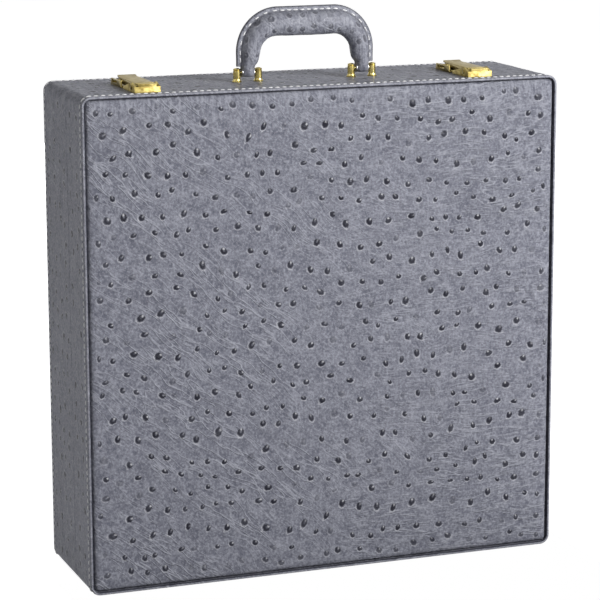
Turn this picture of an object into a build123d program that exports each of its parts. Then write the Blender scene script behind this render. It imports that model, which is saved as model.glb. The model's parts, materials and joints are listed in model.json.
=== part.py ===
from build123d import *
import os
from math import asin, cos, radians, sin

# Storage case for chess pieces: a lid half and a base half hinged along the bottom edge,
# with a padded handle and two hasp latches on top.
# Millimetres. X is the width, -Y the front of the lid, +Z up, and z = 0 is where the case stands.

os.makedirs("parts", exist_ok=True)

# Case, measured over the leather
case_width = 460.0
case_height = 456.0
lid_depth = 52.0
base_depth = 80.0
corner_radius = 9.0
parting_gap = 0.4

# Leather band round each half, folded double at the rim
leather = 1.3
rim_thick = 2.7
rim_depth = 8.0
rim_rounding = 0.9

# Wooden shell
board = 7.5
face_board = 5.0
least_radius = 0.6

# Padded panels on the front and back
panel_gap = 1.2
panel_edge_depth = 7.6
panel_roll = 7.0
panel_crown_steps = [(26.0, 1.1), (90.0, 0.9)]

# Linings and inside
liner = 2.5
lid_liner = 1.8
tongue = 5.0
tongue_play = 0.5
lid_pad_thick = 7.0
lid_pad_gap = 0.6
floor_lining = 2.0
slat = 3.0
slat_play = 0.1
slat_below_edge = 3.0
columns = 6
rows = 4

# Hinge along the bottom of the parting line
hinge_length = 420.0
hinge_height = 2.4
knuckle_radius = 2.2
knuckle_pitch = 30.0
knuckle_gap = 0.3
hinge_pin_radius = 0.9
pin_play = 0.05
leaf_thick = 1.2
leaf_width = 17.0
rebate_half_width = 4.0
rebate_height = 5.2
rebate_end_play = 1.0
end_relief_height = 2.8
hinge_screws = 6
screw_radius = 1.4
screw_head_radius = 2.6
screw_length = 5.5

# Handle
handle_from_front = 57.7
handle_half_span = 56.2
post_half_spacing = 10.4
pivot_height = 8.5
grip_height = 51.8
grip_radius = 11.0
leg_radius = 6.3
leg_middle_radius = 8.2
leg_top_radius = 8.8
leg_middle_lean = 2.0
leg_top_lean = 2.8
corner_bend = 26.0
flange_reach = 5.1
flange_half_reach = 11.0
flange_thick = 3.4
flange_bend = 40.0
eye_neck = 1.4
neck_rise = 2.3
pin_in_post = 0.8
flange_start = 14.8
core_radius = 3.0
eye_radius = 4.2
eye_inset = 0.2
handle_pin_radius = 1.5
cover_play = 0.4
post_radius = 3.4
post_height = 13.0
post_flange_radius = 4.5
post_flange = 1.5
post_dome = 1.0
post_groove = 0.4
post_groove_down = 1.6
shank_radius = 2.0
nut_radius = 4.0
nut_thick = 2.6

# Latches: bracket on the lid, catch on the base
latch_from_side = 69.0
latch_shift = -5.0
latch_width = 24.0
latch_plate = 1.2
plate_slope = 0.5
plate_corner = 2.0
bracket_front = 11.0
bracket_length = 37.0
ear_thick = 1.8
ear_radius = 4.0
ear_tail = 3.2
ear_flat = 0.6
ear_rise = 0.8
front_wall = 5.4
front_wall_thick = 1.6
hood_step = 1.2
hood_before_pivot = 5.8
latch_pivot_back = 11.0
latch_pivot_height = 4.4
latch_pin_radius = 1.3
pin_head = 0.7
barrel_radius = 2.8
side_play = 0.3
hasp_width = 17.0
hasp_thick = 1.5
hasp_under = 6.6
hasp_lip = 2.2
hasp_end = 55.0
hasp_lift = 1.2
hasp_lift_length = 5.0
hasp_cheek = 1.3
hasp_cheek_drop = 2.6
hasp_bevel = 0.5
hasp_bite = 0.2
cheek_short_of_tooth = 4.0
cheek_ramp = 4.0
tooth_width = 12.0
tooth_thick = 1.6
tooth_drop = 4.8
tooth_play = 0.25
tooth_taper = 0.6
catch_length = 33.0
catch_behind_parting = 2.2
cheek_thick = 1.4
cheek_height = 6.0
cheek_slope = 1.5
back_wall_share = 0.8
window_height = 2.6
window_margin = 5.0
window_from_bar = 2.0
bar_radius = 1.5
bar_height = 3.6
bar_back = 10.0
spring_thick = 0.6
spring_width = 9.0
spring_play = 0.3
spring_rise = 3.4
spring_tip = 2.6
spring_foot_gap = 3.0
spring_slope = 3.0
prong_width = 1.8
rivet_head_radius = 1.9
rivet_head = 0.8
rivet_length = 6.0
rivet_margin = 3.2
bracket_rivet_front = 5.2
catch_rivet_back = 6.0

# Places that follow from the sizes
depth = lid_depth + base_depth
front_y = -depth / 2
back_y = depth / 2
parting_y = front_y + lid_depth
lid_edge_y = parting_y - parting_gap / 2
base_edge_y = parting_y + parting_gap / 2
middle_z = case_height / 2
shell_inset = leather + board
lid_face_y = front_y + rim_depth
base_face_y = back_y - rim_depth
inner_half_width = case_width / 2 - shell_inset - liner
inner_low_z = shell_inset + liner
inner_high_z = case_height - inner_low_z
floor_y = base_face_y - face_board - floor_lining
handle_y = front_y + handle_from_front
pivot_z = case_height + pivot_height
grip_half_length = handle_half_span - leg_top_lean - corner_bend
hinge_z = hinge_height
latch_pivot_y = front_y + bracket_front + latch_pivot_back
latch_pivot_z = case_height + latch_pivot_height


def block(x, y, z):
    """Box between the two values of each axis."""
    size = (x[1] - x[0], y[1] - y[0], z[1] - z[0])
    centre = ((x[0] + x[1]) / 2, (y[0] + y[1]) / 2, (z[0] + z[1]) / 2)
    return Pos(*centre) * Box(*size)


def rod(radius, length, centre, along):
    """Cylinder about a centre, along X, Y or Z."""
    turn = {"X": Rot(0, 90, 0), "Y": Rot(90, 0, 0), "Z": Rot(0, 0, 0)}[along]
    return Pos(*centre) * turn * Cylinder(radius, length)


def outline(inset, y):
    """The case's outline, drawn in by inset, as a face at depth y."""
    radius = max(corner_radius - inset, least_radius)
    face = RectangleRounded(case_width - 2 * inset, case_height - 2 * inset, radius)
    return Plane.XZ.offset(-y) * Pos(0, middle_z) * face


def cased(inset, y0, y1):
    """The outline drawn in by inset, as a solid from y0 to y1."""
    return extrude(outline(inset, y1), amount=y1 - y0)


def side_profile(points, width, x=0.0):
    """A shape drawn on (y, z) points and given a width along X, centred on x."""
    face = make_face(Polyline(*points, close=True))
    return extrude(Plane.YZ.offset(x - width / 2) * face, amount=width)


def group(solids):
    """Separate solids kept in one node."""
    return Compound(children=[s for part in solids for s in part.solids()])


def ring_edges(shape, y):
    """The edges that lie at depth y."""
    return shape.edges().filter_by_position(Axis.Y, y - 0.01, y + 0.01)


# Room for the knuckles, and a lower relief past the hinge's ends so that the corners can turn
rebate_y = (parting_y - rebate_half_width, parting_y + rebate_half_width)
rebate_half_length = hinge_length / 2 + rebate_end_play
hinge_rebate = block((-rebate_half_length, rebate_half_length), rebate_y, (-rebate_height, rebate_height))
hinge_rebate += block((-case_width, case_width), rebate_y, (-rebate_height, end_relief_height))


def band(rim_y, edge_y):
    """Leather band from the folded rim to the parting edge."""
    inward = 1 if edge_y > rim_y else -1
    fold_y = rim_y + inward * rim_depth
    shell = cased(0, min(rim_y, edge_y), max(rim_y, edge_y))
    shell -= cased(rim_thick, min(rim_y, fold_y), max(rim_y, fold_y))
    shell -= cased(leather, min(fold_y, edge_y), max(fold_y, edge_y))
    shell = fillet(ring_edges(shell, rim_y), rim_rounding)
    return shell - hinge_rebate


def boards(y0, y1):
    """Top, bottom, left and right boards: the top and bottom lap over the sides."""
    whole = cased(leather, y0, y1)
    half_width = case_width / 2
    wide = (-half_width, half_width)
    deep = (y0, y1)
    tall = (shell_inset, case_height - shell_inset)
    return {
        "top": whole & block(wide, deep, (case_height - shell_inset, case_height)),
        "bottom": (whole & block(wide, deep, (0, shell_inset))) - hinge_rebate,
        "left": block((-half_width + leather, -half_width + shell_inset), deep, tall),
        "right": block((half_width - shell_inset, half_width - leather), deep, tall),
    }


def padded_panel(back_face_y, outward):
    """Padded leather panel: rolled edges and a low crown, outward -1 to the front or 1 to the back."""
    inset = rim_thick + panel_gap
    top_y = back_face_y + outward * panel_edge_depth
    slab = cased(inset, min(back_face_y, top_y), max(back_face_y, top_y))
    slab = fillet(ring_edges(slab, top_y), panel_roll)
    low_inset = inset + panel_roll
    low_y = top_y
    for step_in, step_up in panel_crown_steps:
        high_inset = low_inset + step_in
        high_y = low_y + outward * step_up
        slab += loft([outline(low_inset, low_y), outline(high_inset, high_y)], ruled=True)
        low_inset = high_inset
        low_y = high_y
    return slab


def liner_walls():
    """Base lining walls; their front edges are drawn in and stand into the lid as a tongue."""
    low = shell_inset
    high = case_height - shell_inset
    half = case_width / 2 - shell_inset
    deep = (base_edge_y, base_face_y - face_board)
    proud = (base_edge_y - tongue, base_edge_y)
    p = tongue_play
    return {
        "top": block((-half, half), deep, (high - liner, high))
        + block((-half + p, half - p), proud, (high - liner, high - p)),
        "bottom": block((-half, half), deep, (low, low + liner))
        + block((-half + p, half - p), proud, (low + p, low + liner)),
        "left": block((-half, -half + liner), deep, (low + liner, high - liner))
        + block((-half + p, -half + liner), proud, (low + liner, high - liner)),
        "right": block((half - liner, half), deep, (low + liner, high - liner))
        + block((half - liner, half - p), proud, (low + liner, high - liner)),
    }


def compartment_grid():
    """Uprights and shelves that slot into each other by half their depth."""
    slat_front = base_edge_y + slat_below_edge
    half_depth_y = (slat_front + floor_y) / 2
    cell_width = (2 * inner_half_width - (columns - 1) * slat) / columns
    cell_height = (inner_high_z - inner_low_z - (rows - 1) * slat) / rows
    upright_x = [-inner_half_width + i * (cell_width + slat) - slat / 2 for i in range(1, columns)]
    shelf_z = [inner_low_z + i * (cell_height + slat) - slat / 2 for i in range(1, rows)]
    slot = slat / 2 + slat_play
    uprights = []
    for x in upright_x:
        piece = block((x - slat / 2, x + slat / 2), (slat_front, floor_y), (inner_low_z, inner_high_z))
        for z in shelf_z:
            piece -= block((x - slat, x + slat), (slat_front - 1, half_depth_y), (z - slot, z + slot))
        uprights.append(piece)
    shelves = []
    for z in shelf_z:
        piece = block((-inner_half_width, inner_half_width), (slat_front, floor_y),
                      (z - slat / 2, z + slat / 2))
        for x in upright_x:
            piece -= block((x - slot, x + slot), (half_depth_y, floor_y + 1), (z - slat, z + slat))
        shelves.append(piece)
    print("compartment", round(cell_width, 1), "x", round(cell_height, 1), "mm,",
          round(floor_y - slat_front, 1), "mm deep")
    return uprights, shelves


def hinge_leaf(side):
    """Hinge leaf with its share of the knuckles: side -1 for the lid, 1 for the base."""
    count = round(hinge_length / knuckle_pitch)
    count += 1 - count % 2
    pitch = hinge_length / count
    flat = block(
        (-hinge_length / 2, hinge_length / 2),
        (min(parting_y, parting_y + side * leaf_width), max(parting_y, parting_y + side * leaf_width)),
        (leather, leather + leaf_thick),
    )
    own = 0 if side > 0 else 1
    notch = pitch + knuckle_gap
    reach = knuckle_radius + knuckle_gap
    knuckles = []
    for i in range(count):
        centre = (-hinge_length / 2 + (i + 0.5) * pitch, parting_y, hinge_z)
        if i % 2 == own:
            knuckles.append(rod(knuckle_radius, pitch - knuckle_gap, centre, "X"))
        else:
            room = (centre[0] - notch / 2, centre[0] + notch / 2)
            flat -= block(room, (parting_y - reach, parting_y + reach), (0, hinge_z + reach))
    leaf = flat
    for knuckle in knuckles:
        leaf += knuckle
    return leaf - rod(hinge_pin_radius + pin_play, 2 * hinge_length, (0, parting_y, hinge_z), "X")


def hinge_screw_places(side):
    """Centres of the screws in one leaf."""
    step = hinge_length / hinge_screws
    y = parting_y + side * (rebate_half_width + leaf_width) / 2
    return [(-hinge_length / 2 + (i + 0.5) * step, y) for i in range(hinge_screws)]


def hinge_screw(x, y):
    """Countersunk screw driven up through the leaf."""
    head_z = leather
    shank = Pos(x, y, head_z + screw_length / 2) * Cylinder(screw_radius, screw_length)
    head = Pos(x, y, head_z + leaf_thick / 2) * Cone(screw_head_radius, screw_radius, leaf_thick)
    return shank + head


def post(x):
    """Brass post: flange, waisted foot, stem with a groove and a domed cap, with a threaded shank below."""
    z0 = case_height
    shank_end = z0 - leather - board
    top = z0 + post_height
    r = post_radius
    rim_z = top - post_dome
    groove = post_groove
    groove_z = rim_z - post_groove_down
    profile = Polyline(
        (0, shank_end), (shank_radius, shank_end), (shank_radius, z0), (post_flange_radius, z0),
        (post_flange_radius, z0 + post_flange * 0.6), (r + groove, z0 + post_flange),
        (r, z0 + post_flange * 2), (r, groove_z), (r - groove, groove_z + groove),
        (r, groove_z + 2 * groove), (r, rim_z),
    )
    ball = (r ** 2 + post_dome ** 2) / (2 * post_dome)
    half_turn = asin(r / ball) / 2
    crown = (ball * sin(half_turn), top - ball * (1 - cos(half_turn)))
    cap = ThreePointArc((r, rim_z), crown, (0, top))
    axis_line = Line((0, top), (0, shank_end))
    body = revolve(Plane.XZ * make_face([profile, cap, axis_line]), Axis.Z)
    body = Pos(x, handle_y, 0) * body
    return body - rod(handle_pin_radius, 4 * post_radius, (x, handle_y, pivot_z), "X")


def post_hole(x):
    """Hole for the shank, with a pocket for the nut on the inside."""
    low = case_height - shell_inset
    hole = rod(shank_radius, 4 * board, (x, handle_y, case_height), "Z")
    pocket = rod(nut_radius + cover_play, nut_thick, (x, handle_y, low + nut_thick / 2), "Z")
    return hole + pocket


def post_nut(x):
    """Hexagonal nut on the shank, sunk into the top board."""
    low = case_height - shell_inset
    nut = Pos(x, handle_y, low) * extrude(RegularPolygon(nut_radius, 6), amount=nut_thick)
    return nut - rod(shank_radius, 4 * board, (x, handle_y, case_height), "Z")


def grip_half():
    """One leg and bend of the grip: it thickens from the eye up to the bar and leans inwards."""
    s = handle_half_span
    leg_top = case_height + grip_height - corner_bend
    rings = [(s, pivot_z, leg_radius), (s, pivot_z + eye_radius + eye_neck, leg_radius),
             (s - leg_middle_lean, pivot_z + neck_rise * eye_radius, leg_middle_radius),
             (s - leg_top_lean, leg_top, leg_top_radius)]
    sections = [Plane((x, handle_y, z), z_dir=(0, 0, 1)) * Circle(r) for x, z, r in rings]
    leg = loft(sections, ruled=True)
    turn = Plane((grip_half_length, handle_y, leg_top), x_dir=(1, 0, 0), z_dir=(0, -1, 0))
    path = turn * CenterArc((0, 0), corner_bend, 0, 90)
    foot = sections[-1]
    head_at = (grip_half_length, handle_y, case_height + grip_height)
    head = Plane(head_at, x_dir=(0, 0, 1), z_dir=(-1, 0, 0)) * Circle(grip_radius)
    return leg + sweep([foot, head], path=path, multisection=True)


def seam_flange():
    """Flat seam of two leather edges along the outside of the grip."""
    outer_half = handle_half_span + flange_half_reach
    top = case_height + grip_height + grip_radius + flange_reach
    inner_top = case_height + grip_height
    low = case_height + flange_start
    outer = Pos(0, (top + low) / 2 - flange_bend) * RectangleRounded(
        2 * outer_half, top - low + 2 * flange_bend, flange_bend)
    inner = Pos(0, (inner_top + low) / 2 - flange_bend) * RectangleRounded(
        2 * handle_half_span, inner_top - low + 2 * flange_bend, corner_bend)
    plane = Plane.XZ.offset(-handle_y - flange_thick / 2)
    plate = extrude(plane * (outer - inner), amount=flange_thick)
    keep = block((-case_width, case_width), (front_y, back_y), (low, low + case_height))
    return plate & keep


def handle_core():
    """Steel core: an eye at each end of a bent rod."""
    bar_z = case_height + grip_height
    s = handle_half_span
    path = FilletPolyline((-s, handle_y, pivot_z), (-s, handle_y, bar_z), (s, handle_y, bar_z),
                          (s, handle_y, pivot_z), radius=corner_bend)
    start = Plane((-s, handle_y, pivot_z), z_dir=(0, 0, 1))
    core = sweep(start * Circle(core_radius), path=path)
    for x in (-s, s):
        core += rod(eye_radius - cover_play, 2 * (leg_radius - cover_play), (x, handle_y, pivot_z), "X")
    return core - rod(handle_pin_radius + pin_play, 4 * s, (0, handle_y, pivot_z), "X")


def handle_grip(core):
    """Padded grip over the core, open at the pin holes."""
    leg_half = grip_half()
    grip = rod(grip_radius, 2 * grip_half_length, (0, handle_y, case_height + grip_height), "X")
    grip += leg_half
    grip += mirror(leg_half, about=Plane.YZ)
    for x in (-handle_half_span, handle_half_span):
        grip += rod(eye_radius, 2 * (leg_radius - eye_inset), (x, handle_y, pivot_z), "X")
    grip += seam_flange()
    bore = rod(handle_pin_radius + cover_play, 4 * handle_half_span, (0, handle_y, pivot_z), "X")
    return grip - core - bore


def handle_pin(x):
    """Cross pin held in a pair of posts."""
    length = 2 * (post_half_spacing + post_radius * pin_in_post)
    return rod(handle_pin_radius, length, (x, handle_y, pivot_z), "X")


def rivet_places(x, y0, y1):
    """Two pairs of rivets in a plate that runs from y0 to y1."""
    reach = latch_width / 2 - ear_thick - rivet_margin
    return [(x + sx * reach, y) for sx in (-1, 1) for y in (y0, y1)]


def bracket_rivet_places(x):
    """Rivets of the bracket, clear of the hasp's barrel."""
    y0 = front_y + bracket_front
    return rivet_places(x, y0 + bracket_rivet_front, y0 + bracket_length - rivet_margin)


def catch_front_y():
    """Front edge of the catch plate, just behind the parting line."""
    return parting_y + catch_behind_parting


def catch_rivet_places(x):
    """Rivets of the catch, in front of the bar and behind the spring's foot."""
    y0 = catch_front_y()
    return rivet_places(x, y0 + rivet_margin, y0 + catch_length - catch_rivet_back)


def prong(x, y):
    """Square shank of a rivet, and the hole it goes through."""
    z = case_height + latch_plate
    side = (-prong_width / 2, prong_width / 2)
    return Pos(x, y, z) * block(side, side, (-rivet_length, 0))


def rivet(x, y):
    """Domed rivet through the plate into the board, on a square shank."""
    z = case_height + latch_plate
    head = Pos(x, y, z + rivet_head / 2) * Cone(rivet_head_radius, rivet_head_radius * 0.6, rivet_head)
    return prong(x, y) + head


def latch_bracket(x):
    """Bracket on the lid: plate, turned-up front under a hood, and two ears that carry the pivot pin."""
    y0 = front_y + bracket_front
    y1 = y0 + bracket_length
    z0 = case_height
    half = latch_width / 2
    plate = block((x - half, x + half), (y0, y1), (z0, z0 + latch_plate))
    front = side_profile(
        [(y0, z0), (y0 + plate_slope, z0 + front_wall), (y0 + front_wall_thick, z0 + front_wall),
         (y0 + front_wall_thick + plate_slope, z0)], latch_width, x)
    under = z0 + hasp_under
    top = under + hasp_thick
    hood_y = latch_pivot_y - hood_before_pivot
    wall_y = y0 + hood_step + front_wall_thick
    hood = side_profile(
        [(y0 + hood_step, z0), (y0 + hood_step, under), (y0, under), (y0, top - hasp_bevel),
         (y0 + hasp_bevel, top), (hood_y, top), (hood_y, under), (wall_y, under), (wall_y, z0)],
        hasp_width, x)
    body = plate + front + hood
    for side in (-1, 1):
        ear_x = x + side * (half - ear_thick / 2)
        flat_half = ear_radius * ear_flat
        ear_top = latch_pivot_z + ear_radius * ear_rise
        cheek = side_profile(
            [(y0 + plate_slope, z0), (y0 + plate_slope, z0 + front_wall),
             (latch_pivot_y - flat_half, ear_top), (latch_pivot_y + flat_half, ear_top),
             (y1 - plate_corner, z0 + ear_tail), (y1, z0)], ear_thick, ear_x)
        cheek += rod(ear_radius, ear_thick, (ear_x, latch_pivot_y, latch_pivot_z), "X")
        body += cheek
    body -= rod(latch_pin_radius, 2 * latch_width, (x, latch_pivot_y, latch_pivot_z), "X")
    for place in bracket_rivet_places(x):
        body -= prong(*place)
    return body


def latch_pin(x):
    """Pivot pin with a small head outside each ear."""
    pin = rod(latch_pin_radius, latch_width, (x, latch_pivot_y, latch_pivot_z), "X")
    for side in (-1, 1):
        head_x = x + side * (latch_width + pin_head) / 2
        pin += rod(latch_pin_radius + pin_head, pin_head, (head_x, latch_pivot_y, latch_pivot_z), "X")
    return pin


def tooth_face_reach():
    """Distance from the hasp's pivot to the front face of its tooth, just past the catch bar."""
    bar_y = catch_front_y() + bar_back
    return bar_y - latch_pivot_y + bar_radius + tooth_play


def hasp(x):
    """Hasp lever: barrel on the pin, top plate with a lip and a finger lift, cheeks and a tooth."""
    y0 = latch_pivot_y
    low = case_height + hasp_under
    high = low + hasp_thick
    end = y0 + hasp_end
    lift_from = end - hasp_lift_length
    top = side_profile(
        [(y0 - hasp_lip, low + hasp_bevel), (y0 - hasp_lip + hasp_bevel, high), (lift_from, high),
         (end, high + hasp_lift), (end, low + hasp_lift), (lift_from, low)], hasp_width, x)
    barrel_length = latch_width - 2 * ear_thick - 2 * side_play
    barrel = rod(barrel_radius, barrel_length, (x, y0, latch_pivot_z), "X")
    web = block((x - hasp_width / 2, x + hasp_width / 2), (y0 - barrel_radius * 0.7, y0 + barrel_radius),
                (latch_pivot_z, low + hasp_bite))
    piece = top + barrel + web
    tooth_y = y0 + tooth_face_reach()
    for side in (-1, 1):
        cheek_x = x + side * (hasp_width - hasp_cheek) / 2
        piece += side_profile(
            [(y0, low + hasp_bite), (y0, low - hasp_cheek_drop),
             (tooth_y - cheek_short_of_tooth - cheek_ramp, low - hasp_cheek_drop),
             (tooth_y - cheek_short_of_tooth, low + hasp_bite)], hasp_cheek, cheek_x)
    piece += side_profile(
        [(tooth_y, low + hasp_bite), (tooth_y, low - tooth_drop),
         (tooth_y + tooth_thick * tooth_taper, low - tooth_drop),
         (tooth_y + tooth_thick, low + hasp_bite)], tooth_width, x)
    return piece - rod(latch_pin_radius + pin_play, 2 * latch_width, (x, y0, latch_pivot_z), "X")


def latch_catch(x):
    """Catch body on the base: plate, windowed cheeks and a low back wall."""
    y0 = catch_front_y()
    y1 = y0 + catch_length
    z0 = case_height
    half = latch_width / 2
    body = block((x - half, x + half), (y0, y1), (z0, z0 + latch_plate))
    cheek_top = z0 + cheek_height
    for side in (-1, 1):
        cheek_x = x + side * (half - cheek_thick / 2)
        cheek = side_profile(
            [(y0, z0), (y0 + cheek_slope, cheek_top), (y1 - cheek_slope, cheek_top), (y1, z0)],
            cheek_thick, cheek_x)
        bar_y = y0 + bar_back
        window_from = bar_y + bar_radius + window_from_bar
        window_to = y1 - window_margin
        window_z = z0 + latch_plate + (cheek_height - latch_plate) / 2
        cheek -= block((cheek_x - cheek_thick, cheek_x + cheek_thick), (window_from, window_to),
                       (window_z - window_height / 2, window_z + window_height / 2))
        body += cheek
    back_top = z0 + cheek_height * back_wall_share
    back = side_profile(
        [(y1 - cheek_thick, z0), (y1 - cheek_slope - cheek_thick, back_top),
         (y1 - cheek_slope, back_top), (y1, z0)], latch_width, x)
    body += back
    body -= rod(bar_radius, latch_width - cheek_thick, (x, y0 + bar_back, z0 + bar_height), "X")
    for place in catch_rivet_places(x):
        body -= prong(*place)
    return body


def catch_bar(x):
    """Bar between the cheeks that the hasp's tooth drops behind."""
    return rod(bar_radius, latch_width - cheek_thick, (x, catch_front_y() + bar_back,
                                                       case_height + bar_height), "X")


def catch_spring(x):
    """Leaf spring on the catch plate that presses on the back of the tooth."""
    z = case_height + latch_plate
    tooth_back = latch_pivot_y + tooth_face_reach() + tooth_thick + spring_play
    foot_end = catch_front_y() + catch_length - cheek_thick - spring_foot_gap
    t = spring_thick
    crest_y = tooth_back + 2 * t
    foot_y = crest_y + spring_slope
    return side_profile(
        [(foot_end, z), (foot_end, z + t), (foot_y, z + t), (crest_y, z + spring_rise),
         (tooth_back, z + spring_tip), (tooth_back + t / 2, z + spring_tip - t),
         (crest_y - t / 2, z + spring_rise - 1.5 * t), (foot_y - t, z)], spring_width, x)


# Build every piece under its node name
pieces = {}
latch_spread = case_width / 2 - latch_from_side
latch_x = {"left": latch_shift - latch_spread, "right": latch_shift + latch_spread}
post_x = [side * (handle_half_span + step * post_half_spacing)
          for side, step in ((-1, 1), (-1, -1), (1, -1), (1, 1))]

lid_boards = boards(lid_face_y, lid_edge_y)
base_boards = boards(base_edge_y, base_face_y)
pieces["lid_band"] = band(front_y, lid_edge_y)
pieces["base_band"] = band(back_y, base_edge_y)

half_inside = case_width / 2 - shell_inset
inside_x = (-half_inside, half_inside)
inside_z = (shell_inset, case_height - shell_inset)
pieces["lid_face_board"] = block(inside_x, (lid_face_y, lid_face_y + face_board), inside_z)
pieces["base_back_board"] = block(inside_x, (base_face_y - face_board, base_face_y), inside_z)
pieces["lid_panel"] = padded_panel(lid_face_y, -1)
pieces["base_panel"] = padded_panel(base_face_y, 1)

leaves = {"lid": hinge_leaf(-1), "base": hinge_leaf(1)}
screws = {"lid": [hinge_screw(*place) for place in hinge_screw_places(-1)],
          "base": [hinge_screw(*place) for place in hinge_screw_places(1)]}
for half, found in (("lid", lid_boards), ("base", base_boards)):
    found["bottom"] -= leaves[half]
    for screw in screws[half]:
        found["bottom"] -= screw
        leaves[half] -= screw
    pieces["hinge_leaf_" + half] = leaves[half]
    pieces["hinge_screws_" + half] = group(screws[half])
pieces["hinge_pin"] = rod(hinge_pin_radius, hinge_length, (0, parting_y, hinge_z), "X")

for x in latch_x.values():
    for place in bracket_rivet_places(x):
        lid_boards["top"] -= prong(*place)
        pieces["lid_band"] -= prong(*place)
    for place in catch_rivet_places(x):
        base_boards["top"] -= prong(*place)
        pieces["base_band"] -= prong(*place)
for x in post_x:
    base_boards["top"] -= post_hole(x)
    pieces["base_band"] -= rod(shank_radius, 4 * board, (x, handle_y, case_height), "Z")

for place, piece in lid_boards.items():
    pieces["lid_board_" + place] = piece
for place, piece in base_boards.items():
    pieces["base_board_" + place] = piece

for place, piece in liner_walls().items():
    pieces["base_liner_" + place] = piece
lid_liner_front = lid_face_y + face_board
lid_liner_back = lid_edge_y - tongue - tongue_play
pieces["lid_liner"] = cased(shell_inset, lid_liner_front, lid_liner_back) - cased(
    shell_inset + lid_liner, lid_liner_front, lid_liner_back)
pad_inset = shell_inset + lid_liner + lid_pad_gap
pad = cased(pad_inset, lid_liner_front, lid_liner_front + lid_pad_thick)
pieces["lid_pad"] = fillet(ring_edges(pad, lid_liner_front + lid_pad_thick), lid_pad_thick * 0.6)
pieces["floor_lining"] = block((-inner_half_width, inner_half_width), (floor_y, floor_y + floor_lining),
                               (inner_low_z, inner_high_z))
uprights, shelves = compartment_grid()
for i, piece in enumerate(uprights):
    pieces["tray_upright_" + str(i + 1)] = piece
for i, piece in enumerate(shelves):
    pieces["tray_shelf_" + str(i + 1)] = piece

core = handle_core()
pieces["handle_core"] = core
pieces["handle_grip"] = handle_grip(core)
pieces["handle_pins"] = group([handle_pin(-handle_half_span), handle_pin(handle_half_span)])
for i, x in enumerate(post_x):
    pieces["handle_post_" + str(i + 1)] = post(x)
pieces["post_nuts"] = group([post_nut(x) for x in post_x])

for side, x in latch_x.items():
    name = "latch_" + side + "_"
    pieces[name + "bracket"] = latch_bracket(x)
    pieces[name + "bracket_rivets"] = group([rivet(*place) for place in bracket_rivet_places(x)])
    pieces[name + "pin"] = latch_pin(x)
    pieces[name + "hasp"] = hasp(x)
    pieces[name + "catch"] = latch_catch(x)
    pieces[name + "catch_rivets"] = group([rivet(*place) for place in catch_rivet_places(x)])
    pieces[name + "bar"] = catch_bar(x)
    pieces[name + "spring"] = catch_spring(x)

for name, piece in pieces.items():
    export_step(piece, "parts/" + name + ".step")
print(len(pieces), "pieces written")
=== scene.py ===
import json
import math

import bpy
import numpy as np
from mathutils import Matrix, Vector


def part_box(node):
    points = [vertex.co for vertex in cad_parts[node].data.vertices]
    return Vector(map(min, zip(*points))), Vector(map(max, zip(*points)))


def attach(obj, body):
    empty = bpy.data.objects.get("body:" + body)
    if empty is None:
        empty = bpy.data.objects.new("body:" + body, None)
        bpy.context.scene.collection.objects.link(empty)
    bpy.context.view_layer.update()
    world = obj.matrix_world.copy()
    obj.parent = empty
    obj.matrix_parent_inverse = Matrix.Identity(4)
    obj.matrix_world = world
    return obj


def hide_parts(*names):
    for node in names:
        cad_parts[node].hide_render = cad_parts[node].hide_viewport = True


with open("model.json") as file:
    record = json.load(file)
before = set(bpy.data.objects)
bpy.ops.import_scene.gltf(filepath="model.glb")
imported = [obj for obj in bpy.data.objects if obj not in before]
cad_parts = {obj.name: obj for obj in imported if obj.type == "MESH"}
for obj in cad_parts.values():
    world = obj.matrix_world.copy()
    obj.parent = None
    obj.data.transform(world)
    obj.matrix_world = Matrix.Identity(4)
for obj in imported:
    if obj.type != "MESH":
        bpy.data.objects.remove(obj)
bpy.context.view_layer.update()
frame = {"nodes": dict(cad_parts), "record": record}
mm = 0.001
print("frame loaded:", len(frame["nodes"]), "nodes")


def switchTo(mode):
    bpy.ops.object.mode_set(mode=mode)


def clearSelection():
    if bpy.context.mode != "OBJECT":
        switchTo("OBJECT")
    bpy.ops.object.select_all(action="DESELECT")
    bpy.context.view_layer.objects.active = None


def takeUp(obj):  # the one selected and active object
    clearSelection()
    obj.select_set(True)
    bpy.context.view_layer.objects.active = obj


def named(obj, name):
    obj.name = name
    obj.data.name = name
    return obj


def seat(obj, body, slot, material, *nodes):  # nodes: the CAD pieces it stands for
    obj.data.materials.clear()
    obj.data.materials.append(material)
    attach(obj, body)
    if nodes:
        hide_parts(*nodes)
    return obj


def points(mesh):
    co = np.empty(len(mesh.vertices) * 3)
    mesh.vertices.foreach_get("co", co)
    return co.reshape(-1, 3)


def setPoints(obj, x, y, z):
    co = np.stack([x, y, z], axis=1)
    obj.data.vertices.foreach_set("co", np.ascontiguousarray(co, dtype=np.float32).ravel())
    obj.data.update()


def paint(mesh, name, values, kind="FLOAT", field="value"):  # what the material reads at each point
    layer = mesh.attributes.new(name, kind, "POINT")
    layer.data.foreach_set(field, np.ascontiguousarray(values, dtype=np.float32).ravel())


def flatGrid(columns, rows):  # a grid from -1 to 1 and the column and row of each point
    clearSelection()
    bpy.ops.mesh.primitive_grid_add(x_subdivisions=columns, y_subdivisions=rows, size=2)
    sheet = bpy.context.active_object
    co = points(sheet.data)
    col = np.rint((co[:, 0] + 1) / 2 * columns).astype(int)
    row = np.rint((co[:, 1] + 1) / 2 * rows).astype(int)
    return sheet, col, row


def tidyFaces(obj, mergeAt=0.02 * mm):  # close the seams and turn all faces outward
    takeUp(obj)
    switchTo("EDIT")
    bpy.ops.mesh.select_all(action="SELECT")
    bpy.ops.mesh.remove_doubles(threshold=mergeAt)
    bpy.ops.mesh.normals_make_consistent(inside=False)
    switchTo("OBJECT")
    bpy.ops.object.shade_smooth()


def smoothStep(t):
    t = np.clip(t, 0, 1)
    return t * t * (3 - 2 * t)


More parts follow.
